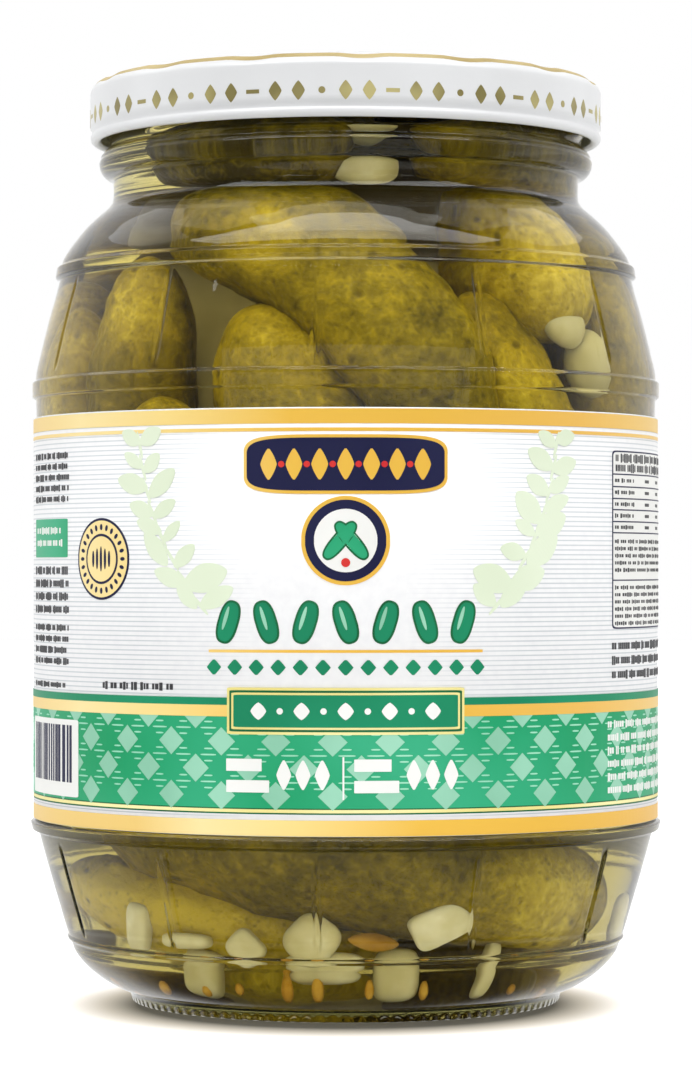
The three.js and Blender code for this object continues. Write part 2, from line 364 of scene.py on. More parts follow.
def jar_azimuths():
    """Azimuths of the jar's columns: even ones, and close ones across each groove."""
    even = np.arange(0, 360, 2.0)
    close = np.concatenate([np.degrees(a) + np.linspace(-1.1, 1.1, 9) for a in stave_azimuths()]) % 360
    away = np.abs((even[:, None] - close[None, :] + 180) % 360 - 180).min(axis=1)
    return np.radians(np.sort(np.concatenate([even[away > 0.35], close])))


FLOOR_INSIDE = [(0.6, 5.6), (9, 5.55), (18, 5.4), (27, 5.2), (33, 5.05), (35.6, 5.35), (37.4, 6.0)]


def under_rows():
    """The jar's underside from the axis out, as (radius, height) pairs: push-up, foot ring and round heel.
    The heel's curve is a quarter of a superellipse."""
    pushed = 28
    step = 2.9
    inner_foot = pushed + step
    rows = [(r, PUSH_UP - 0.8 * (r / pushed) ** 2) for r in np.linspace(0.6, pushed, 10)]
    rows += [(pushed + step * t, 2.2 * (1 - t * t * (3 - 2 * t))) for t in np.linspace(0, 1, 6)[1:]]
    middle, half = (FOOT_RADIUS + inner_foot) / 2, (FOOT_RADIUS - inner_foot) / 2
    rows += [(middle - half * math.cos(a), 0.0) for a in np.linspace(0, np.pi, 9)[1:]]
    edge = np.linspace(0.4, np.pi / 2, 4)
    rows += [(FOOT_RADIUS + 0.45 * math.sin(a), 0.45 * (1 - math.cos(a))) for a in edge]
    start = FOOT_RADIUS + 0.8
    rows += [
        (start + (HEEL_RADIUS - start) * math.sin(a) ** HEEL_POWER,
         FOOT_HEIGHT + (HEEL_TOP - FOOT_HEIGHT) * (1 - math.cos(a) ** HEEL_POWER))
        for a in np.linspace(0, np.pi / 2, 22)[:-1]
    ]
    return rows


def bead_row(b):
    """One row of the neck bead at b from -1 to 1: half an ellipse with a fine groove above its middle."""
    swell = (BEAD_RADIUS - NECK_RADIUS) * math.sqrt(max(0, 1 - b * b))
    groove = 0.2 * math.exp(-((b - 0.3) / 0.1) ** 2)
    return NECK_RADIUS + swell - groove, BEAD_HEIGHT + BEAD_HALF * b


def jar_surface():
    """Foot, heel, body, bead and finish outside, the mouth, and the smooth inside, as one closed skin."""
    turn = jar_azimuths()[None, :]
    fine = [np.arange(m - h - 0.7, m + h + 0.75, 0.16) for m, h, _ in HOOPS]
    levels = np.unique(np.round(np.concatenate([
        np.arange(HEEL_TOP, 30.6, 0.85), np.arange(31, 98, 3.0), np.arange(98, NECK_TOP, 0.8), *fine]), 3))
    z = levels[:, None]
    body = turned_points(body_radius(z) - stave_grooves(z, turn), z, turn)
    bead = [bead_row(b) for b in np.linspace(-1, 1, 33)[:-1]]
    z = np.arange(BEAD_HEIGHT + BEAD_HALF, MOUTH_TOP - 1.2, 0.5)[:, None]
    threads = turned_points(FINISH_RADIUS + thread_rise(z, turn), z, turn)
    middle, half = (FINISH_RADIUS + BORE_RADIUS) / 2, (FINISH_RADIUS - BORE_RADIUS) / 2
    lip = [(middle + half * math.cos(a), MOUTH_TOP - 1.1 * (1 - math.sin(a))) for a in np.linspace(0, np.pi, 9)]
    inner = np.concatenate([
        np.linspace(150, 137, 5), np.arange(136.5, 103, -1.3), np.linspace(102, 34, 14),
        np.arange(33, 7, -1.3), [7.0]])
    wall = np.column_stack([through(ROOM, inner), inner])
    return closed_skin(np.concatenate([
        turned_rings(under_rows(), turn), body, turned_rings(bead, turn), threads, turned_rings(lip, turn),
        turned_rings(wall, turn), turned_rings(FLOOR_INSIDE[::-1], turn)]))


def brine_surface():
    """The jar's inside grown a little into the wall, up to the level of the brine."""
    floor = np.array(FLOOR_INSIDE)
    floor[:, 1] -= BRINE_REACH
    floor[-2:, 0] += 0.5 * BRINE_REACH
    levels = np.concatenate([
        np.arange(7, 34, 1.0), np.linspace(35, 102, 18), np.arange(103, 137, 1.0),
        np.linspace(138, BRINE_TOP, 4)])
    wall = np.column_stack([through(ROOM, levels) + BRINE_REACH, levels])
    top = [(30, BRINE_TOP), (15, BRINE_TOP), (0.6, BRINE_TOP)]
    return closed_skin(turned_rings(np.vstack([floor, wall, top]), full_turn(144)))


def clear_material(name, ior, sheen, haze, lamp_colour, absorb, density):
    """Clear glass or liquid that absorbs a little, with fine teeth round the lowest part of the foot. Lamps
    reach what lies inside through a transparent stand-in for shadow rays."""
    m = Nodes(name)
    axes = m.axes(m.place())
    teeth = m.maths("COSINE", m.maths("MULTIPLY", m.maths("ARCTAN2", axes["X"], axes["Y"]), FOOT_TEETH))
    low = m.span(axes["Z"], 0.0006, 0.0012, 1.0, 0.0)
    knurl = m.bump(m.maths("MULTIPLY", teeth, low), 0.6, 0.0002)
    glass = m.add("BsdfPrincipled", {
        "Base Color": (1, 1, 1, 1), "Roughness": haze, "IOR": ior, "Transmission Weight": 1.0,
        "Specular Tint": (sheen, sheen, sheen, 1), "Normal": knurl})
    clear = m.add("BsdfTransparent", {"Color": (*lamp_colour, 1)})
    shadow = m.add("LightPath").outputs["Is Shadow Ray"]
    mixed = m.add("MixShader", {0: shadow, 1: glass.outputs[0], 2: clear.outputs[0]})
    m.finish("VolumeAbsorption", {"Color": (*absorb, 1), "Density": density}, "Volume")
    return m.finish(mixed.outputs[0])


def make_jar():
    glass = clear_material("jar_glass", 1.5, 0.36, 0.0, (0.96, 0.97, 0.95), (0.95, 0.93, 0.5), 35.0)
    jar = make_mesh("jar_glass", jar_surface(), glass)
    settle(jar, "glass", "jar")
    brine = clear_material("brine", 1.34, 0.0, 0.07, (0.99, 0.98, 0.9), (0.72, 0.63, 0.04), 30.0)
    liquid = make_mesh("brine", brine_surface(), brine)
    settle(liquid, "gherkin")


# The heap

# Each gherkin seen from the front: tips, bow of its middle, thickness, taper, and tone from 0 for dark
# olive to 1 for pale yellow: the skin's own colour with painted light and shade in it, the two in the neck
# darkened as painted shade under the lid and the low one at the left made pale as painted light
FRONT_GHERKINS = [
    ((-25, -21, 126), (18, -37, 89), (4, -6, 8), 21.5, 0.1, 0.27),
    ((-14, -33, 112.5), (16, -30, 44), (-1, -4, 0), 23, 0, 0.56),
    ((-28, -22, 122), (-24, -15, 56), (-3, -2, 0), 16.5, 0, 0.38),
    ((-37, -8, 113), (-37, -10, 44), (-1, 0, 0), 20, 0, 0.5),
    ((-27, -31, 99.5), (-28, -24, 36), (-1, -2, 0), 19, 0, 0.45),
    ((32, -28, 112), (6, 6, 116), (1, 0, 5), 22, 0, 0.66),
    ((35, -12, 123), (38, -8, 58), (1, -1, 0), 19, 0, 0.3),
    ((17, -29, 114.5), (37, -20, 58), (2, -4, 0), 16.5, 0, 0.42),
    ((-27, -13, 139.5), (2, -27, 139), (-2, -4, 0), 15.5, 0, 0.12),
    ((10, -27, 139), (33, 4, 139), (4, -2, 0), 16, 0, 0.16),
    ((-35, -19, 34), (39, -17, 18), (2, -14.3, 1), 23, -0.08, 0.3),
    ((-40, -9, 23), (6, -20, 13), (-1, -9, -1), 16, 0, 1.0),
    ((26, -8, 14), (-12, 4, 18), (0, 0, 0), 16, 0, 0.3),
]
GHERKIN_POWER = 3.2

# Patches on the heap, riper or duller, several of them painted light and shade (darker high up under the lid,
# lighter on the shoulder and low down): middle, reach and change of tone
PATCHES = [
    ((-31, -28, 112), 6.5, 0.5), ((6, -44, 117), 9, 0.1), ((-12, -40, 123.5), 8, 0.45),
    ((-18, -24, 134), 7, -0.35), ((30, -32, 19), 13, 0.4), ((-6, -44, 26), 14, -0.1),
    ((-28, -26, 24), 10, 0.15), ((22, -38, 100), 8, 0.12),
]


def around(azimuth, radius, z):
    """A point given by its azimuth in degrees from the front, radius and height."""
    turn = math.radians(azimuth)
    return (radius * math.sin(turn), -radius * math.cos(turn), z)


def seeded_range(seed):
    """A small seeded generator, uniform between low and high: the state times 16807 modulo 2^31 - 1."""
    state = [seed]

    def pick(low, high):
        state[0] = state[0] * 16807 % 2147483647
        return low + (high - low) * (state[0] / 2147483647)

    return pick


def back_gherkins():
    """Standing ones that lean either way, low ones round the base, and some that lie across near the top."""
    pick = seeded_range(7)
    rows = []
    for k in range(5):
        azimuth = 112 + 35 * k
        lean = pick(6, 15) * (1 if k % 2 == 0 else -1)
        top = pick(108, 121)
        start = around(azimuth + lean, 35, top)
        end = around(azimuth - lean, 36, top - pick(60, 74))
        bow = around(azimuth, pick(0.5, 3), 0)
        rows.append((start, end, bow, pick(18.5, 23), pick(-0.2, 0.2), (0.3, 0.65, 0.2, 0.8, 0.45)[k]))
    rows.append((around(163, 30, 30), around(222, 34, 20), around(190, 5, 0), 20, 0, 0.4))
    rows.append((around(172, 20, 16), around(110, 22, 20), around(140, 3, 0), 17, 0, 0.6))
    rows.append(((31, 17, 128), (-14, 32, 121), (3, 7, 0), 19, 0, 0.3))
    rows.append(((-33, 16, 127), (-38, 20, 88), (-3, 2, 0), 17, 0, 0.6))
    rows.append(((-9, 17, 139), (28, 14, 137), (0, 5, 0), 17, 0, 0.2))
    rows.append(((-18, 4, 142), (24, -4, 144), (0, 0, 0), 16, 0, 0.2))
    rows.append((around(97, 31, 121), around(94, 33, 58), (0, 0, 0), 17, 0, 0.5))
    rows.append((around(192, 31, 128), around(228, 35, 100), (0, 2, 0), 18, 0, 0.35))
    return rows


def press_inside(points, clearance=0.35):
    """Points drawn in to the room inside the glass: clear of the wall, the floor and the brine's top."""
    z = np.clip(points[..., 2], 6.0, BRINE_TOP - 1.5)
    flat = points[..., :2]
    radius = np.linalg.norm(flat, axis=-1)
    limit = np.maximum(through(ROOM, np.maximum(z, 7.0)) - clearance, 1)
    share = np.minimum(1, limit / np.maximum(radius, 1e-6))
    return np.concatenate([flat * share[..., None], z[..., None]], axis=-1)


def gherkin_skin(row, rows, cols, seed):
    """A blunt round profile along a bent line: radius = half thickness * (1 - |2s - 1|^3.2)^(1/2.1), times a
    taper and soft lobes, with bumps of three sizes."""
    start, end, bow, thickness, taper, tone = row
    start, end, bow = (np.array(v, float) for v in (start, end, bow))
    s = (0.5 - 0.5 * np.cos(np.linspace(0, np.pi, rows + 2)[1:-1]))[:, None]
    turn = full_turn(cols)
    middle = (start + end) / 2 + 2 * bow
    line = (1 - s) ** 2 * start + 2 * s * (1 - s) * middle + s ** 2 * end
    tangent = 2 * (1 - s) * (middle - start) + 2 * s * (end - middle)
    tangent /= np.linalg.norm(tangent, axis=1, keepdims=True)
    level = np.cross(end - start, (0, 0, 1.0))
    level = level / np.linalg.norm(level) if np.linalg.norm(level) > 8 else np.array([1.0, 0, 0])
    side = level - tangent * (tangent @ level)[:, None]
    side /= np.linalg.norm(side, axis=1, keepdims=True)
    other = np.cross(side, tangent)
    radius = 0.5 * thickness * (1 - np.abs(2 * s - 1) ** GHERKIN_POWER) ** (1 / 2.1) * (1 + taper * (s - 0.5))
    phase = seed * 1.7
    lobes = 1 + 0.03 * np.cos(3 * turn + phase) + 0.015 * np.cos(5 * turn + 2 * phase)
    direction = side[:, None, :] * np.cos(turn)[..., None] + other[:, None, :] * np.sin(turn)[..., None]
    bare = line[:, None, :] + direction * (radius * lobes)[..., None]
    warts = np.maximum(0, noise(bare, 2.6, seed + 3) - 0.35)
    bumps = 0.8 * noise(bare, 11, seed) + 0.4 * noise(bare, 4.2, seed + 1) + 0.8 * warts
    ends = smooth(0, 0.25, radius / (0.5 * thickness))
    points = bare + direction * (bumps * ends)[..., None]
    points, faces = closed_skin(press_inside(points))
    # Per-point values: the skin's colour plus painted light and shade from the gherkin's value and the patches.
    tones = np.full(len(points), tone)
    for place, reach, change in PATCHES:
        tones += change * np.exp(-((points - place) ** 2).sum(axis=1) / reach ** 2)
    return (points, faces), tones, noise(points, 14, seed + 5)


def core_skin():
    """The heap's middle: a lumpy column whose radius swells and shrinks with azimuth and height."""
    z = np.linspace(8, 146, 60)[:, None]
    turn = full_turn(96)
    ends = np.sqrt(np.clip(1 - ((z - 77) / 70.5) ** 8, 0.02, 1))
    mean = through([(8, 17), (32, 19), (44, 26), (116, 26), (134, 15), (146, 13)], z)
    radius = (mean + 3.2 * np.cos(5 * turn + z / 17) + 1.6 * np.cos(3 * turn - z / 9)) * ends
    points = turned_points(radius, z, turn)
    return closed_skin(points)


def make_gherkins():
    skin = gherkin_material()
    groups = {
        "gherkins_front": (FRONT_GHERKINS[:7], 130, 88), "gherkins_low": (FRONT_GHERKINS[7:], 120, 80),
        "gherkins_back": (back_gherkins(), 64, 48)}
    first = True
    for name, (rows, along, round_) in groups.items():
        parts, tones, drifts = [], [], []
        for i, row in enumerate(rows):
            surface, tone, drift = gherkin_skin(row, along, round_, 11 * i + (1 if first else 200))
            parts.append(surface)
            tones.append(tone)
            drifts.append(drift)
        attributes = {"tone": np.concatenate(tones), "drift": np.concatenate(drifts)}
        piece = make_mesh(name, joined(parts), skin, attributes)
        settle(piece, "gherkin", *(["pickles"] if first else []))
        first = False
    piece = make_mesh("heap_core", core_skin(), shade_material())
    settle(piece, "gherkin")


def shade_material():
    """The core, standing in for the deeper heap: cloudy pale brown low in front, and darker towards the top and
    the back as painted shade.
    """
    m = Nodes("heap_painted_shade")
    place = m.place()
    axes = m.axes(place)
    cloud = m.cloud(place, 120, 2)
    pale = m.ramp(cloud, [(0.3, srgb("d4cbb4")), (0.7, srgb("e6dec9"))])
    high = m.span(axes["Z"], 0.112, 0.122, 0.0, 1.0)
    behind = m.span(axes["Y"], -0.01, 0.004, 0.0, 1.0)
    # Painted shade: the core turns dark brown above about 11 cm and towards the back.
    colour = m.mix(m.maths("MAXIMUM", high, behind), pale, srgb("5c5241"))
    return m.finish("BsdfPrincipled", {"Base Color": colour, "Roughness": 0.6, "Specular IOR Level": 0.1})


def gherkin_material():
    """Wet mottled skin: dark olive to yellow by the tone attribute, the skin's colour with painted light and
    shade in it, with pale folds and pores of two sizes.
    """
    m = Nodes("gherkin_skin")
    place = m.place()
    tone = m.add("Attribute", attribute_name="tone").outputs["Fac"]
    drift = m.add("Attribute", attribute_name="drift").outputs["Fac"]
    warp = m.add("TexNoise", {"Vector": place, "Scale": 160, "Detail": 2}).outputs["Color"]
    reach = (0.0022, 0.0022, 0.0022)
    bent = m.add("VectorMath", {0: warp, 1: reach, 2: place}, operation="MULTIPLY_ADD").outputs[0]
    broad = m.cloud(place, 105, 4, 0.6)
    fine = m.cloud(bent, 520, 5, 0.65)
    pores = m.add("TexVoronoi", {"Vector": bent, "Scale": 300, "Randomness": 1.0}).outputs
    small = m.add("TexVoronoi", {"Vector": bent, "Scale": 760, "Randomness": 1.0}).outputs["Distance"]
    folds = m.cloud(bent, 210, 3, 0.55)
    crease = m.maths("ABSOLUTE", m.maths("SUBTRACT", folds, 0.5))
    wrinkle = m.span(crease, 0.0, 0.035, 1.0, 0.0)
    shade = m.maths("MULTIPLY", m.maths("SUBTRACT", broad, 0.5), 0.85)
    grain = m.maths("MULTIPLY", m.maths("SUBTRACT", fine, 0.5), 0.98)
    # The skin's colour and its painted light and shade both enter the colour here.
    ripe = m.maths("ADD", m.maths("ADD", tone, shade), grain)
    ripe = m.maths("MULTIPLY_ADD", drift, 0.22, ripe)
    ripe = m.maths("MULTIPLY_ADD", wrinkle, 0.13, ripe)
    base = m.ramp(ripe, [
        (0.0, srgb("413707")), (0.2, srgb("64560b")), (0.42, srgb("7e6c0f")), (0.62, srgb("958012")),
        (0.82, srgb("af991f")), (1.0, srgb("c3ac34"))])
    pick = m.add("SeparateColor", {0: pores["Color"]}).outputs[0]
    deep = m.span(pores["Distance"], 0.1, 0.3, 1.0, 0.0)
    some = m.span(pick, 0.45, 0.8, 0.0, 0.65)
    colour = m.mix(m.maths("MULTIPLY", deep, some), base, srgb("3d3008"))
    dots = m.span(small, 0.1, 0.35, 0.35, 0.0)
    colour = m.mix(dots, colour, srgb("3f360a"))
    height = m.maths("MULTIPLY_ADD", broad, 2.0, fine)
    height = m.maths("MULTIPLY_ADD", deep, -0.5, height)
    bump = m.bump(height, 0.6, 0.0006)
    return m.finish("BsdfPrincipled", {
        "Base Color": colour, "Roughness": 0.35, "IOR": 1.4, "Specular IOR Level": 0.1, "Normal": bump,
        "Subsurface Weight": 0.1, "Subsurface Scale": 0.002, "Subsurface Radius": (1.0, 0.8, 0.2)})


# Onion, seeds and carrot

# Each onion piece: half sizes, place, turn about Z, turn about Y, and roundness from 0, a block, to 1, an egg
ONIONS = [
    ((5.2, 3.4, 4.9), (3, -29, 136.4), 0.1, 0.1, 1.0),
    ((5.0, 3.0, 4.8), (36, -20, 104.5), 0.9, 0.4, 0.8),
    ((3.2, 2.4, 5.6), (43, -11, 104), 1.2, -0.1, 0.75),
    ((4.0, 2.2, 3.6), (32.5, -25, 110), 0.8, 0.5, 0.8),
    ((2.2, 1.7, 4.0), (-31, -26, 15.5), -0.8, 0.1, 0.5),
    ((4.4, 2.0, 1.3), (-24, -31, 13.6), -0.6, 0.0, 0.6),
    ((3.2, 2.0, 3.0), (-21, -28, 9.5), -0.6, 0.2, 0.6),
    ((2.8, 1.4, 2.5), (-15, -36, 12.8), -0.4, 0.78, 0.5),
    ((3.9, 1.6, 4.0), (-5, -37, 14.4), -0.15, 0.66, 0.7),
    ((5.8, 1.8, 1.9), (-3.2, -35.5, 10.4), -0.1, 0.0, 0.6),
    ((4.9, 1.8, 3.1), (14.6, -40.6, 16.8), 0.35, -0.42, 0.45),
    ((3.4, 1.8, 3.4), (7.5, -33, 9.5), 0.1, 0.0, 0.6),
    ((1.3, 1.4, 4.2), (21, -30, 9.8), 0.6, 0.35, 0.6),
    ((3.0, 2.0, 4.0), (41, -8, 16), 1.3, 0.2, 0.7),
]


def turn_about(axis, angle):
    """The rotation matrix about a row axis."""
    c, s = math.cos(angle), math.sin(angle)
    i, j = [(1, 2), (2, 0), (0, 1)][axis]
    matrix = np.eye(3)
    matrix[i, i] = matrix[j, j] = c
    matrix[i, j], matrix[j, i] = -s, s
    return matrix


def rounded_block(half, place, about_z, about_y, square, seed, curl=0.03):
    """A superellipsoid (signed powers of sine and cosine), bent like a leaf of onion, so that its depth grows
    with the square of its width."""
    up = np.linspace(-np.pi / 2, np.pi / 2, 16)[1:-1, None]
    turn = full_turn(24)
    power = lambda v: np.sign(v) * np.abs(v) ** square
    x = half[0] * power(np.cos(up)) * power(np.cos(turn))
    y = half[1] * power(np.cos(up)) * power(np.sin(turn))
    z = half[2] * power(np.sin(up)) * np.ones_like(turn)
    points = np.stack([x, y + curl * (x * x + 0.5 * z * z), z], axis=-1)
    points = points * (1 + 0.07 * noise(points + seed * 7.3, 4, seed)[..., None])
    points = points @ turn_about(1, about_y).T @ turn_about(2, about_z).T + np.array(place, float)
    return closed_skin(press_inside(points))


def small_onions():
    """More onion for the sides and back: pieces resting near the floor and caught above the label."""
    pick = seeded_range(29)
    rows = []
    for k in range(10):
        azimuth = 95 + 17 * k + pick(-5, 5)
        low = k % 3 != 1
        radius = pick(33, 38) if low else pick(40, 43)
        z = pick(8, 14) if low else pick(100, 112)
        half = (pick(2.4, 4.6), pick(1.5, 2.4), pick(2.2, 4.2))
        place = around(azimuth, radius, z)
        rows.append((half, place, math.radians(azimuth), pick(-0.6, 0.6), pick(0.5, 0.8)))
    return rows


def onion_material():
    """Pale flesh with soft veins, with painted shade that makes the pieces above the label darker than those at
    the floor and in the neck.
    """
    m = Nodes("onion")
    place = m.place()
    veins = m.cloud(place, 260, 2)
    colour = m.ramp(veins, [(0.3, srgb("c4bb8e")), (0.6, srgb("d1c9a3")), (0.8, srgb("ddd8bc"))])
    height = m.axes(place)["Z"]
    # Painted shade: darker with height from 3 to 9 cm, and mostly lifted again in the neck above 12.5 cm.
    dull = m.maths("MULTIPLY", m.span(height, 0.03, 0.09, 0.0, 0.45), m.span(height, 0.125, 0.13, 1.0, 0.2))
    return m.finish("BsdfPrincipled", {
        "Base Color": m.mix(dull, colour, srgb("8f8864")), "Roughness": 0.5, "IOR": 1.35,
        "Specular IOR Level": 0.1, "Subsurface Weight": 0.5, "Subsurface Scale": 0.003,
        "Subsurface Radius": (1.0, 0.9, 0.6)})


def make_onions():
    rows = ONIONS + small_onions()
    pieces = joined([rounded_block(*row, i) for i, row in enumerate(rows)])
    settle(make_mesh("onion_pieces", pieces, onion_material()), "gherkin")


def two_tone(name, low, high, scale, detail, spread, shine):
    """A plain surface whose colour drifts between two tones, set at spread below and above the drift's middle."""
    m = Nodes(name)
    drift = m.cloud(m.place(), scale, detail)
    colour = m.ramp(drift, [(0.5 - spread, srgb(low)), (0.5 + spread, srgb(high))])
    return m.finish("BsdfPrincipled", {"Base Color": colour, **shine})


def speckled(name, low, high, scale):
    shine = {"Roughness": 0.5, "IOR": 1.35, "Specular IOR Level": 0.25}
    return two_tone(name, low, high, scale, 2, 0.2, shine)


def make_seeds():
    """Mustard seeds, small grains on the floor near the wall, and one piece of carrot. The seeds near the front
    have places of their own."""
    pick = seeded_range(41)
    spots = [(-14, 36.2), (-6.6, 36.4), (5.6, 36.4), (19, 36), (-26, 36.5), (44, 36)]
    spots += [(pick(60, 330), pick(32, 37)) for _ in range(9)]
    up = np.linspace(-np.pi / 2, np.pi / 2, 9)[1:-1, None]
    ball = turned_points(np.cos(up), np.sin(up), full_turn(12))
    parts = []
    for i, (azimuth, radius) in enumerate(spots):
        size = pick(0.75, 1.2)
        tall = 1.9 if i < 4 else 1.2
        centre = np.array(around(azimuth, radius, 7.0 + 0.32 * max(0, radius - 35)))
        parts.append(closed_skin(ball * size * np.array([0.9, 0.9, tall]) + centre))
    piece = make_mesh("mustard_seeds", joined(parts), speckled("mustard_seed", "bb8620", "d8ab45", 500))
    settle(piece, "gherkin")
    carrot = rounded_block((3.9, 1.4, 1.5), (4.2, -38, 14), 0.1, 0.12, 1.25, 77, 0.02)
    piece = make_mesh("carrot_piece", carrot, speckled("carrot", "9a6f1a", "b98d34", 300))
    settle(piece, "gherkin")


# Lid

SCALLOPS = 15

# Radius and rise of the lid's button and panel
BUTTON = [
    (0.6, 0.5), (6, 0.5), (12.4, 0.48), (13, 0.42), (13.6, 0.2), (14.1, 0.05), (14.8, 0), (24, 0), (33.2, 0),
    (34.2, 0.06),
]


def scallop_wave(turn):
    """From 0 to 1 by azimuth: evenly spaced round waves, flat between them."""
    return np.clip(np.cos(SCALLOPS * turn - 0.9), 0, 1) ** 1.5


def lid_profile():
    """Outside of the lid from the button to the curl, as (radius, height) pairs of arcs and straights."""
    panel = LID_TOP - 1.1
    pairs = [(radius, panel + rise) for radius, rise in BUTTON]
    pairs += [(34.2 + 2.0 * t, panel + 0.06 + 0.94 * t * t * (3 - 2 * t)) for t in np.linspace(0, 1, 7)[1:]]
    pairs += [(RIM_RADIUS - 1.6 + 0.4 * k, LID_TOP - 0.1 * (1 - k / 4) ** 2) for k in range(5)]
    drop = 2.4
    reach = LID_RADIUS - RIM_RADIUS
    pairs += [(RIM_RADIUS + reach * math.sin(a) ** 0.9, LID_TOP - drop * (1 - math.cos(a) ** 1.1))
              for a in np.linspace(0, np.pi / 2, 15)[1:]]
    pairs += [(LID_RADIUS, z) for z in np.arange(LID_TOP - drop - 0.8, LID_LOW + 2.6, -0.8)]
    pairs += [(LID_RADIUS - 0.28, LID_LOW + 2.3), (LID_RADIUS - 0.3, LID_LOW + 2.0)]
    curl = np.linspace(0.9, -2.9, 13)
    pairs += [(LID_RADIUS - 0.92 + 0.9 * math.cos(a), LID_LOW + 0.92 + 0.9 * math.sin(a)) for a in curl]
    return np.array(pairs, float)


def scallop(turn, radius):
    """How deep the shoulder is pressed in at an azimuth and a radius: shallow dents, only on the shoulder."""
    inner = smooth(RIM_RADIUS + 0.8, RIM_RADIUS + 2.4, radius)
    outer = 1 - smooth(LID_RADIUS - 0.5, LID_RADIUS, radius)
    return 0.25 * scallop_wave(turn) * inner * outer


def lid_surface():
    """The outside pressed in at the scallops, then the curl's inner side and the inside of the shell."""
    turn = full_turn(270)
    outer = lid_profile()
    slope = np.gradient(outer, axis=0)
    normal = np.column_stack([-slope[:, 1], slope[:, 0]])
    normal /= np.linalg.norm(normal, axis=1, keepdims=True)
    radius, height = outer[:, :1], outer[:, 1:]
    depth = scallop(turn, radius) * (height > LID_TOP - 3)
    skin = turned_points(radius - normal[:, :1] * depth, height - normal[:, 1:] * depth, turn)
    skirt = [(LID_RADIUS - 0.75, LID_LOW + 2.4), (LID_RADIUS - 0.6, LID_LOW + 3.2)]
    top = [
        (LID_RADIUS - 0.6, 2.9), (LID_RADIUS - 1.1, 1.8), (RIM_RADIUS + 1.5, 0.85), (RIM_RADIUS - 1.5, 0.6),
        (BORE_RADIUS - 1.2, 1.7), (15, 1.7), (12, 1.2), (0.6, 1.2)]
    wall = skirt + [(r, LID_TOP - below) for r, below in top]
    return closed_skin(np.concatenate([skin, turned_rings(wall, turn)]))


def lacquer_material():
    """White lacquer, with painted shade that makes the sunk panel on top greyer under the strong overhead light.
    """
    m = Nodes("lid_lacquer")
    place = m.place()
    white = m.ramp(m.cloud(place, 60, 2), [(0.3, srgb("d2d3d4")), (0.7, srgb("dadbdc"))])
    axes = m.axes(place)
    flat = m.add("CombineXYZ", {0: axes["X"], 1: axes["Y"]}).outputs[0]
    out = m.add("VectorMath", {0: flat}, operation="LENGTH").outputs["Value"]
    # Painted shade: the top panel is greyed inside a radius of 32.5 mm, fading out by 37 mm, to hold back the
    # overhead light.
    panel = m.span(out, 0.0325, 0.037, 0.8, 0.0)
    bump = m.bump(m.cloud(place, 900, 1), 0.12, 0.0001)
    return m.finish("BsdfPrincipled", {
        "Base Color": m.mix(panel, white, srgb("bababa")), "Roughness": 0.32, "Specular IOR Level": 0.4,
        "Normal": bump})


def make_lid():
    settle(make_mesh("lid_shell", lid_surface(), lacquer_material()), "lid", "lid")
    make_lid_band(speckled("lid_rim_gold", "a5925f", "bdab7c", 90))
    shine = {"Roughness": 0.4, "Metallic": 0.1}
    make_lid_frieze(two_tone("lid_gold", "7c7240", "b9ae74", 70, 2, 0.15, shine))


def make_lid_band(gold):
    """The gold rim: a band that follows the shoulder of the lid, a hair proud, with a waved outer edge."""
    turn = full_turn(360)
    t = np.linspace(0, 1, 9)[:, None]
    low, high = RIM_RADIUS + 2.5, RIM_RADIUS + 3.85 + 0.15 * scallop_wave(turn)
    radius = low + (high - low) * t
    outer = lid_profile()
    shoulder = outer[outer[:, 0] > RIM_RADIUS - 0.5]
    shoulder = shoulder[: np.argmax(shoulder[:, 0]) + 1]
    slope = np.gradient(shoulder, axis=0)
    normal = np.column_stack([-slope[:, 1], slope[:, 0]]) / np.linalg.norm(slope, axis=1, keepdims=True)

    def laid(proud):
        offset = proud - scallop(turn, radius)
        height = np.interp(radius, shoulder[:, 0], shoulder[:, 1])
        out, up = (np.interp(radius, shoulder[:, 0], normal[:, k]) * offset for k in (0, 1))
        return turned_points(radius + out, height + up, turn)

    front = laid(0.1 * np.minimum(1, 6 * np.minimum(t, 1 - t)) - 0.04)
    back = laid(-0.1)[::-1]
    piece = make_mesh("lid_gold_rim", closed_skin(np.concatenate([front, back]), poles=False), gold)
    settle(piece, "lid")


# Printed shapes, each a thin plate wrapped on a cylinder. Each layer of print lies LAYER above the last

LAYER = 0.03
BAR_POWER = 40


def plate(s, z, half_s, half_z, layer=1, power=2.0, turn=0.0, radius=LABEL_FACE):
    """A thin plate bounded by |x/a|^p + |y/b|^p = 1 and turned in its own plane, its middle at distance s
    round the cylinder. Rings of four points cross it, and the outer two of each are sunk into the paper."""
    small_bar = power > 10 and max(half_s, half_z) < 1
    count = 5 if power <= 1 or small_bar else int(min(60, 9 + 3 * max(half_s, half_z)))
    x = np.sin(np.linspace(-np.pi / 2, np.pi / 2, count))[:, None] * 0.995
    y = (1 - np.abs(x) ** power) ** (1 / power) * np.array([-1, -1, 1, 1])
    x, y = half_s * x, half_z * y
    across = x * math.cos(turn) - y * math.sin(turn)
    up = x * math.sin(turn) + y * math.cos(turn)
    rise = radius + np.array([-LAYER, layer * LAYER, layer * LAYER, -LAYER]) + 0 * across
    return closed_skin(turned_points(rise, z + up, (s + across) / radius))


def bar(s, z, half_s, half_z, layer=1, **more):
    """A straight bar: the plate with a high power."""
    return plate(s, z, half_s, half_z, layer, power=BAR_POWER, **more)


def hoop(low, high, inner, outer):
    """A thin closed ring between two heights and two radii."""
    pairs = [(inner, low), (outer, low), (outer, high), (inner, high)]
    return closed_skin(turned_rings(pairs, full_turn(240)), poles=False)


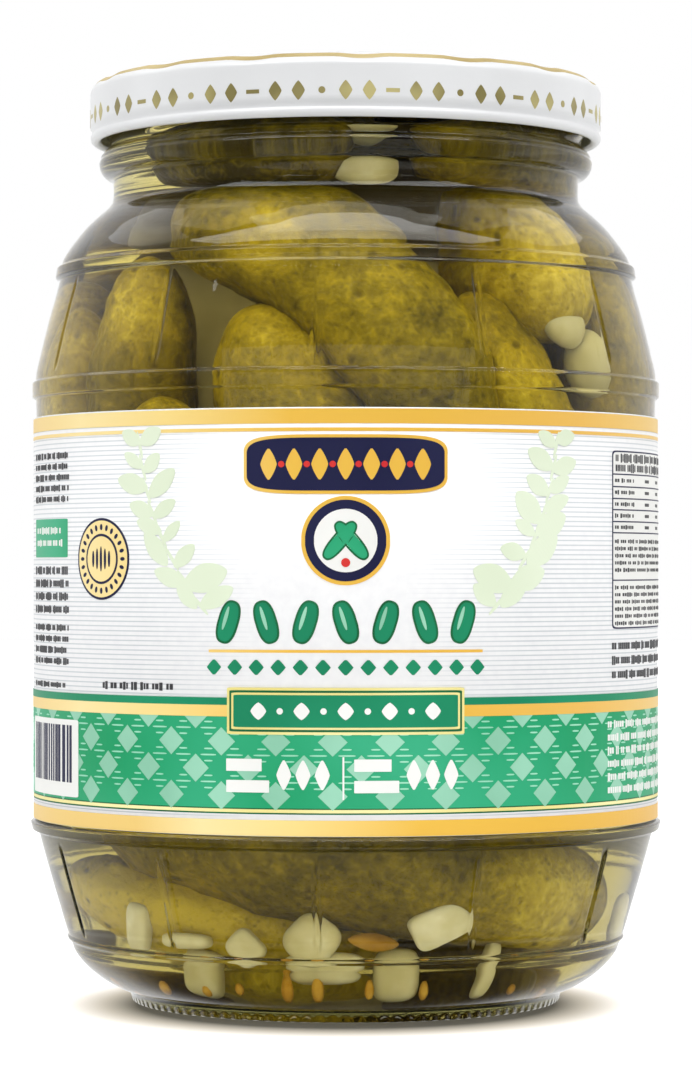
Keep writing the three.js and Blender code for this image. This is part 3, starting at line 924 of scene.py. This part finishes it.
def make_lid_frieze(gold):
    """A row of small gold shapes round the skirt: bars, lozenges and dots in turn."""
    middle = (LID_TOP + LID_LOW) / 2 - 1.2
    count = 72
    step = 2 * math.pi * LID_RADIUS / count
    lozenge = (1.05, 1.55, 1, 1.2)
    kinds = [lozenge, lozenge, (1.1, 0.32, 1, BAR_POWER), lozenge, lozenge, (0.55, 0.55)]
    parts = [plate(k * step, middle, *kinds[k % 6], radius=LID_RADIUS) for k in range(count)]
    settle(make_mesh("lid_gold_frieze", joined(parts), gold, rounded=False), "lid")


# Label

# The inks: two tones and the scale of the drift between them. Gold has a material of its own
INKS = {
    "gold": None,
    "gold_light": ("dccf7e", "ece3a4", 40),
    "green": ("06925c", "32a67a", 30),
    "deep_green": ("0b5a33", "14683f", 60),
    "dark_green": ("0c7d56", "148a60", 40),
    "mint": ("82ba9e", "96cdb2", 60),
    "hatch": ("88cbac", "9cdabc", 60),
    "navy": ("14163c", "1b1d42", 60),
    "cream": ("e0e0dc", "e6e6e2", 60),
    "grey": ("303032", "444446", 60),
    "sprig": ("d3dec4", "dae4cc", 60),
    "red": ("c4252a", "d43a2e", 60),
}


def print_material(name):
    if name == "gold":
        return gold_ink()
    shine = {"Roughness": 0.45, "Specular IOR Level": 0.25}
    return two_tone(name + "_print", *INKS[name], 1, 0.15, shine)


def gold_ink():
    """Gold print with a painted sheen across the front view: deepest round the front's middle and paler towards
    the sides, most of all the left one. The lowest band has its colours shifted to the right."""
    m = Nodes("gold_print")
    axes = m.axes(m.place())
    # Painted sheen: the colour goes by left and right in the front view, paler where the foil catches the light.
    lean = m.span(axes["Z"], 0.034, 0.045, -0.02, 0.0)
    across = m.maths("ADD", axes["X"], lean)
    share = m.span(across, -0.053, 0.053, 0.0, 1.0)
    colour = m.ramp(share, [
        (0.0, srgb("e2c070")), (0.1, srgb("ecd79a")), (0.24, srgb("eace80")), (0.42, srgb("e0b244")),
        (0.62, srgb("ddae40")), (0.85, srgb("dfb052")), (1.0, srgb("e2bf6e"))])
    return m.finish("BsdfPrincipled", {"Base Color": colour, "Roughness": 0.4, "Specular IOR Level": 0.3})


def paper_material():
    """Coated white paper with fine grey lines every 0.75 mm that fade out at the middle of the front."""
    m = Nodes("label_paper")
    place = m.place()
    axes = m.axes(place)
    line = m.maths("PINGPONG", axes["Z"], 0.000375)
    dark = m.maths("SUBTRACT", 1.0, m.maths("DIVIDE", line, 0.00015))
    dark = m.add("Clamp", {0: dark}).outputs[0]
    side = m.maths("ABSOLUTE", m.maths("ADD", axes["X"], 0.002))
    fade = m.span(side, 0.011, 0.03, 0.0, 1.0)
    behind = m.span(axes["Y"], -0.01, 0.01, 0.0, 1.0)
    dark = m.maths("MULTIPLY", dark, m.maths("MAXIMUM", fade, behind))
    fibre = m.cloud(place, 700, 2)
    white = m.ramp(fibre, [(0.3, srgb("e1e1e2")), (0.7, srgb("e6e6e6"))])
    colour = m.mix(m.maths("MULTIPLY", dark, 0.95), white, srgb("aab2b8"))
    return m.finish("BsdfPrincipled", {
        "Base Color": colour, "Roughness": 0.4, "Normal": m.bump(fibre, 0.1, 0.0001)})


CHECKS = 37
CHECK_ROWS = [49.46, 45.28, 41.1, 36.92]
CHECK_LOW, CHECK_HIGH = 35.05, 49.16


def check_shapes():
    """A slanted check: pale diamonds on a staggered lattice, and three pale strokes on each side of them."""
    step = 2 * math.pi * LABEL_FACE / CHECKS
    rise = CHECK_ROWS[0] - CHECK_ROWS[1]
    marks = list(itertools.product((-0.25, 0.25), ((0.95, 0.72), (0, 1.35), (-0.95, 0.72))))
    diamonds, strokes = [], []
    for row, z in enumerate(CHECK_ROWS):
        start = -2.0 + (0 if row % 2 else 0.5 * step)
        middle = z - 0.5 * rise
        for k in range(CHECKS):
            s = start + k * step
            diamonds.append(plate(s, z, 2.3, 2.2, 2, power=1.0))
            if middle > CHECK_LOW + 1:
                strokes += [plate(s + across * step, middle + up, half, 0.13, 2, 3)
                            for across, (up, half) in marks]
    return diamonds, strokes


def gherkin_shape(s, z, half_s, half_z, layer, lean):
    """A small drawn gherkin: a fat leaning ellipse with blunt ends."""
    return plate(s, z, half_s, half_z, layer, power=2.6, turn=lean)


def sprig(s, z, side):
    """A pale sprig: a stem of short plates along an arc that leans outward, with leaves of uneven size."""
    pick = seeded_range(90 + side)
    parts = []
    for k in range(8):
        t = k / 7
        x = s + side * (-6 + 11 * t + 2.5 * math.sin(3 * t))
        y = z - 13 + 25 * t
        parts.append(plate(x, y, 0.3, 2.2, 2, turn=-side * (0.75 - 0.5 * t)))
        for way in (-1, 1):
            leaf = pick(2.5, 4.2) * (1 - 0.3 * t)
            middle = y + pick(0.1, 0.6) * leaf
            half = pick(0.45, 0.62) * leaf
            turn = way * pick(0.2, 0.9)
            parts.append(plate(x + way * leaf * 0.9, middle, leaf, half, 2, power=1.6, turn=turn))
    return parts


def text_bars(left, right, top, bottom, pitch, layer, seed, fill):
    """Rows of small plain blocks where small print would be: short groups of uneven length, left to right."""
    pick = seeded_range(seed)
    parts = []
    z = top - pitch / 2
    while z > bottom:
        s = left
        left_in_group = int(pick(2, 7))
        while s < right - 0.5:
            wide = pick(0.3, 0.62)
            tall = pitch * fill * (0.75 if pick(0, 1) < 0.3 else 0.55)
            parts.append(bar(s + wide / 2, z, wide / 2, tall, layer))
            left_in_group -= 1
            s += wide + 0.2
            if left_in_group <= 0:
                s += 0.55
                left_in_group = int(pick(2, 8))
        z -= pitch
    return parts


# Heights of the designs on the label, from the top down, and the seal's distance round from the front
PLAQUE_Z = 88.2
SPRIG_Z = 79.5
RING_Z = 76.4
SEAL_Z, SEAL_S = 73.6, -43.6
ROW_Z = 63.8
RULE_Z = 59.3
DIAMONDS_Z = 56.8
STRIP_Z = 50.05

# Bands all the way round: ink, lower and upper edge, and layer
BANDS = [
    ("gold", 94.5, 96.8, 1), ("gold", 93.3, 93.85, 1), ("gold", CHECK_HIGH, 50.94, 3), ("gold", 30.75, 33.2, 1),
    ("green", CHECK_LOW, CHECK_HIGH, 1), ("dark_green", 50.94, 52.08, 3), ("deep_green", 34.86, CHECK_LOW, 1),
    ("deep_green", 34.1, 34.35, 1), ("gold_light", 34.35, 34.86, 1),
]

# Small print, first at the left and then at the right, where the table is. Each block: ink, left, right, top,
# bottom, pitch, layer, seed and fill
TABLE_LEFT, TABLE_RIGHT = 49.8, 78.0
TABLE_RULES = [87.2, 85.2, 83.3, 81.5, 79.6, 77.8, 70.2]
TABLE_ROWS = [86.2, 84.3, 82.4, 80.55, 78.7]
SMALL_PRINT = [
    ("grey", -71, -53, 91.2, 81.6, 1.75, 2, 3, 0.42),
    ("cream", -69, -55.5, 79.2, 74.8, 2.0, 3, 5, 0.4),
    ("grey", -71, -53, 72.8, 65.4, 2.1, 2, 8, 0.42),
    ("grey", -71, -53, 63.4, 56.8, 1.8, 2, 13, 0.42),
    ("grey", -71, -53.5, 53.9, 52.5, 1.3, 2, 17, 0.5),
    ("grey", -43.3, -27.8, 54.3, 52.7, 1.4, 2, 19, 0.6),
    ("grey", TABLE_LEFT + 1, TABLE_RIGHT - 1, 90.6, 87.4, 1.6, 4, 31, 0.6),
    *[("grey", TABLE_LEFT + 0.8, TABLE_LEFT + 8, z + 0.6, z - 0.55, 1.2, 4, 37 + k, 0.4)
      for k, z in enumerate(TABLE_ROWS)],
    ("grey", TABLE_LEFT + 0.8, TABLE_RIGHT - 1, 77.0, 70.8, 1.15, 4, 51, 0.4),
    ("grey", TABLE_LEFT + 0.8, TABLE_RIGHT - 1, 69.6, 63.2, 1.15, 4, 61, 0.4),
    ("grey", TABLE_LEFT, TABLE_RIGHT, 60.8, 53.2, 2.3, 2, 67, 0.42),
    ("cream", 48.5, 76, 48.2, 35.6, 2.1, 3, 71, 0.42),
]


def stack(shapes, s, z, rows, first=2, **more):
    """Plates on one middle, each in its own ink and a layer above the last: rows of ink and half sizes."""
    for layer, (ink, half_s, half_z) in enumerate(rows, first):
        shapes[ink].append(plate(s, z, half_s, half_z, layer, **more))


def print_bands(shapes):
    """The bands and the check, all the way round."""
    for ink, low, high, layer in BANDS:
        shapes[ink].append(hoop(low, high, LABEL_FACE - 0.05, LABEL_FACE + layer * LAYER))
    diamonds, strokes = check_shapes()
    shapes["mint"] += diamonds
    shapes["hatch"] += strokes


def print_front(shapes):
    """The middle of the front, from the strip on the check up to the plaque, with the two sprigs."""
    stack(shapes, 0, STRIP_Z, [
        ("gold_light", 18.85, 3.62), ("deep_green", 18.45, 3.2), ("gold_light", 18.1, 2.85),
        ("dark_green", 17.75, 2.5)], first=4, power=BAR_POWER)
    for k in range(9):
        shape = (0.5, 0.5, 8, 2) if k % 2 else (1.25, 1.35, 8, 1.3)
        shapes["cream"].append(plate(-13.6 + 3.4 * k, STRIP_Z, *shape))
    for k in range(7):
        s = -18.6 + 6.2 * k
        lean = 0.3 if k % 2 else -0.3
        shapes["deep_green"].append(gherkin_shape(s, ROW_Z, 1.75, 3.45, 2, lean))
        shapes["dark_green"].append(gherkin_shape(s, ROW_Z, 1.4, 3.1, 3, lean))
        shapes["mint"].append(plate(s - 0.4, ROW_Z + 0.6, 0.3, 1.9, 4, turn=lean))
    shapes["gold"].append(bar(0, RULE_Z, 22, 0.22, 2))
    shapes["dark_green"] += [plate(-21 + 3.5 * k, DIAMONDS_Z, 1.2, 1.3, 2, power=1.1) for k in range(13)]

    stack(shapes, 0, PLAQUE_Z, [("gold", 16.1, 4.6), ("navy", 15.6, 4.1)], power=5)
    shapes["gold"] += [plate(-12 + 4 * k, PLAQUE_Z, 1.3, 2.5, 4, power=1.25) for k in range(7)]
    shapes["red"] += [plate(-10 + 4 * k, PLAQUE_Z, 0.5, 0.5, 4) for k in range(6)]
    stack(shapes, 0, RING_Z, [("gold", 6.9, 6.9), ("navy", 6.3, 6.3), ("cream", 4.9, 4.9)])
    for lean, s in ((0.7, 0.9), (-0.7, -0.9)):
        shapes["deep_green"].append(gherkin_shape(s, RING_Z, 1.25, 3.7, 5, lean))
        shapes["green"].append(gherkin_shape(s, RING_Z, 0.95, 3.4, 6, lean))
    shapes["red"].append(plate(0, RING_Z - 3.4, 0.7, 0.7, 6))
    for side, s in ((-1, -29.5), (1, 30.5)):
        shapes["sprig"] += sprig(s, SPRIG_Z, side)
    for left in (-19.0, 1.2):
        shapes["cream"] += [bar(left + 3.0, 41.7, 2.9, 0.95, 4), bar(left + 3.6, 38.4, 3.5, 0.95, 4)]
        shapes["cream"] += [plate(left + 9.4 + 3.0 * k, 40.2, 1.15, 2.4, 4, power=1.2) for k in range(3)]
    shapes["cream"].append(bar(-0.35, 39.7, 0.14, 3.3, 4))


def print_seal(shapes):
    """A round seal with five upright bars and a ring of ticks."""
    discs = [("navy", 6.5, 6.5), ("gold", 6.1, 6.1), ("navy", 4.0, 4.0), ("gold", 3.6, 3.6)]
    stack(shapes, SEAL_S, SEAL_Z, discs)
    navy = shapes["navy"]
    navy += [plate(SEAL_S - 2 + k, SEAL_Z, 0.28, 2.0 - 0.35 * abs(k - 2), 6) for k in range(5)]
    for k in range(24):
        turn = 2 * math.pi * k / 24
        s, z = SEAL_S + 5.05 * math.cos(turn), SEAL_Z + 5.05 * math.sin(turn)
        navy.append(plate(s, z, 0.3, 0.5, 4, turn=turn - math.pi / 2))


def print_sides(shapes):
    """A green plaque and random upright bars at the left, a ruled table at the right, and the small print."""
    shapes["green"].append(bar(-62.2, 77, 8.6, 3.1, 2))
    shapes["cream"].append(bar(-61, 41.6, 11, 6.2, 3))
    pick = seeded_range(23)
    s = -70
    while s < -52:
        width = pick(0.12, 0.45)
        shapes["navy"].append(bar(s, 42.3, width, 4.6, 4))
        s += 2 * width + pick(0.25, 0.6)
    middle, half = (TABLE_LEFT + TABLE_RIGHT) / 2, (TABLE_RIGHT - TABLE_LEFT) / 2
    stack(shapes, middle, 76.7, [("navy", half, 14.3), ("cream", half - 0.25, 14.05)], power=BAR_POWER)
    shapes["navy"] += [bar(middle, z, half, 0.1, 4) for z in TABLE_RULES]
    for z in TABLE_ROWS:
        shapes["grey"] += [bar(TABLE_LEFT + 14, z, 1.2, 0.25, 4), bar(TABLE_LEFT + 22, z, 1.4, 0.25, 4)]
    for ink, *row in SMALL_PRINT:
        shapes[ink] += text_bars(*row)


def print_back(shapes):
    """Small print on the half that the front hides: rows laid out at the front and turned half round."""
    half_turn = turn_about(2, math.pi)
    rows = text_bars(-60, 60, 88, 60, 3.4, 2, 83, 0.3)
    shapes["grey"] += [(points @ half_turn.T, faces) for points, faces in rows]


def make_label():
    """The paper, glued a little into the glass, and a piece for each ink."""
    paper = hoop(LABEL_LOW, LABEL_HIGH, PANEL_RADIUS - 0.1, LABEL_FACE)
    settle(make_mesh("label_paper", paper, paper_material()), "label", "label")
    shapes = {name: [] for name in INKS}
    for draw in (print_bands, print_front, print_seal, print_sides, print_back):
        draw(shapes)
    for name, parts in shapes.items():
        piece = make_mesh("label_" + name, joined(parts), print_material(name), rounded=False)
        settle(piece, "label")


# Room

AIM = (0, 0, 0.12)


def flat_piece(name, half, front, back, z, material):
    """One large level face at a height, from y = front to y = back."""
    mesh = bpy.data.meshes.new(name)
    corners = [(-half, front, z), (half, front, z), (half, back, z), (-half, back, z)]
    mesh.from_pydata(corners, [], [(0, 1, 2, 3)])
    mesh.materials.append(material)
    piece = bpy.data.objects.new(name, mesh)
    bpy.context.collection.objects.link(piece)
    return piece


def soft_lamp(name, place, size, power, unseen=()):
    """A rectangular area lamp that faces AIM, and the kinds of ray that don't meet it."""
    data = bpy.data.lights.new(name, "AREA")
    data.shape = "RECTANGLE"
    data.size, data.size_y = size
    data.energy = power
    lamp = bpy.data.objects.new(name, data)
    bpy.context.collection.objects.link(lamp)
    lamp.location = place
    way = np.array(AIM) - np.array(place)
    spin = math.atan2(way[1], way[0]) - math.pi / 2
    tip = math.atan2(math.hypot(way[0], way[1]), -way[2])
    lamp.rotation_euler = (tip, 0, spin)
    for kind in unseen:
        setattr(lamp, "visible_" + kind, False)


def floor_material():
    """A dim floor that glows white away from the jar, with a painted contact shadow round its foot, where the
    emission falls low and takes a yellow-brown tint as painted light from the jar.
    """
    m = Nodes("pale_floor_painted_shadow")
    shifted = m.add("VectorMath", {0: m.place(), 1: (0, 0.006, 0)}, operation="ADD").outputs["Vector"]
    away = m.add("VectorMath", {0: shifted}, operation="LENGTH").outputs["Value"]
    # Painted shadow: the emission drops from 1.35 to 0.06 close round the foot.
    glow = m.span(away, 0.0345, 0.0495, 0.06, 1.35)
    # Painted light: a yellow-brown tint next to the foot, like light coloured by the brine.
    warm = m.span(away, 0.04, 0.05, 1.0, 0.0)
    return m.finish("BsdfPrincipled", {
        "Base Color": (0.1, 0.1, 0.1, 1), "Roughness": 0.8, "Specular IOR Level": 0.1,
        "Emission Color": m.mix(warm, (1.0, 1.0, 1.0), (1.0, 0.9, 0.74)), "Emission Strength": glow})


def make_room():
    floor_piece = flat_piece("floor", 3.0, -0.3, 3.0, -0.0002, floor_material())
    floor_piece.visible_glossy = False
    make_world()
    soft_lamp("front_lamp", (0, -0.41, 0.98), (1.0, 0.55), 8.0, ["glossy"])
    soft_lamp("sheen_lamp", (0, -0.42, 0.975), (2.0, 0.58), 25.0, ["diffuse", "transmission"])
    soft_lamp("fill_lamp", (0, -0.95, 0.3), (2.0, 0.44), 4.3, ["glossy"])
    for side in (-1, 1):
        soft_lamp("side_lamp", (0.6 * side, -0.06, 0.98), (0.55, 0.4), 1.7, ["glossy"])
        soft_lamp("rear_lamp", (0.85 * side, 0.42, 0.98), (0.9, 0.45), 1.5)

    scene = bpy.context.scene
    scene.view_settings.view_transform = "Standard"
    scene.cycles.max_bounces = 15
    scene.cycles.transmission_bounces = 14
    scene.cycles.diffuse_bounces = 3
    scene.cycles.glossy_bounces = 4
    scene.cycles.transparent_max_bounces = 16
    scene.cycles.caustics_reflective = False
    scene.cycles.caustics_refractive = True
    scene.cycles.blur_glossy = 0.5


def make_world():
    """White behind the jar and for the camera, dim in front, and dark overhead and below the floor."""
    world = bpy.data.worlds.new("studio")
    bpy.context.scene.world = world
    world.use_nodes = True
    tree = world.node_tree
    way = tree.nodes.new("ShaderNodeTexCoord")
    split = tree.nodes.new("ShaderNodeSeparateXYZ")
    tree.links.new(way.outputs["Generated"], split.inputs[0])

    def span(source, low, high, first, last):
        node = tree.nodes.new("ShaderNodeMapRange")
        node.interpolation_type = "SMOOTHSTEP"
        for key, value in zip((1, 2, 3, 4), (low, high, first, last)):
            node.inputs[key].default_value = value
        tree.links.new(source, node.inputs[0])
        return node.outputs[0]

    def join(operation, first, second):
        node = tree.nodes.new("ShaderNodeMath")
        node.operation = operation
        tree.links.new(first, node.inputs[0])
        tree.links.new(second, node.inputs[1])
        return node.outputs[0]

    behind = span(split.outputs["Y"], -0.4, 0.3, 0.0, 1.0)
    before = span(split.outputs["Y"], -0.4, 0.3, 0.25, 0.0)
    low_front = span(split.outputs["Z"], -0.25, -0.02, 0.15, 1.0)
    level = span(split.outputs["Z"], 0.5, 0.85, 1.0, 0.2)
    down = span(split.outputs["Z"], -0.75, -0.45, 0.06, 1.0)
    path = tree.nodes.new("ShaderNodeLightPath")
    sides = join("ADD", behind, join("MULTIPLY", before, low_front))
    around_jar = join("MULTIPLY", join("MULTIPLY", sides, level), down)
    strength = join("MAXIMUM", around_jar, path.outputs["Is Camera Ray"])
    background = tree.nodes["Background"]
    background.inputs["Color"].default_value = (1, 1, 1, 1)
    tree.links.new(strength, background.inputs["Strength"])


def make_camera():
    data = bpy.data.cameras.new("photo_view")
    data.sensor_width = 36
    data.lens = 124.6
    data.shift_x = 0.0003
    data.shift_y = 0.0221
    camera = bpy.data.objects.new("photo_view", data)
    bpy.context.collection.objects.link(camera)
    camera.location = (0, -CAMERA_DISTANCE * MM, CAMERA_HEIGHT * MM)
    camera.rotation_euler = (math.pi / 2, 0, 0)
    bpy.context.scene.camera = camera


make_camera()
make_room()
make_jar()
make_gherkins()
make_onions()
make_seeds()
make_lid()
make_label()
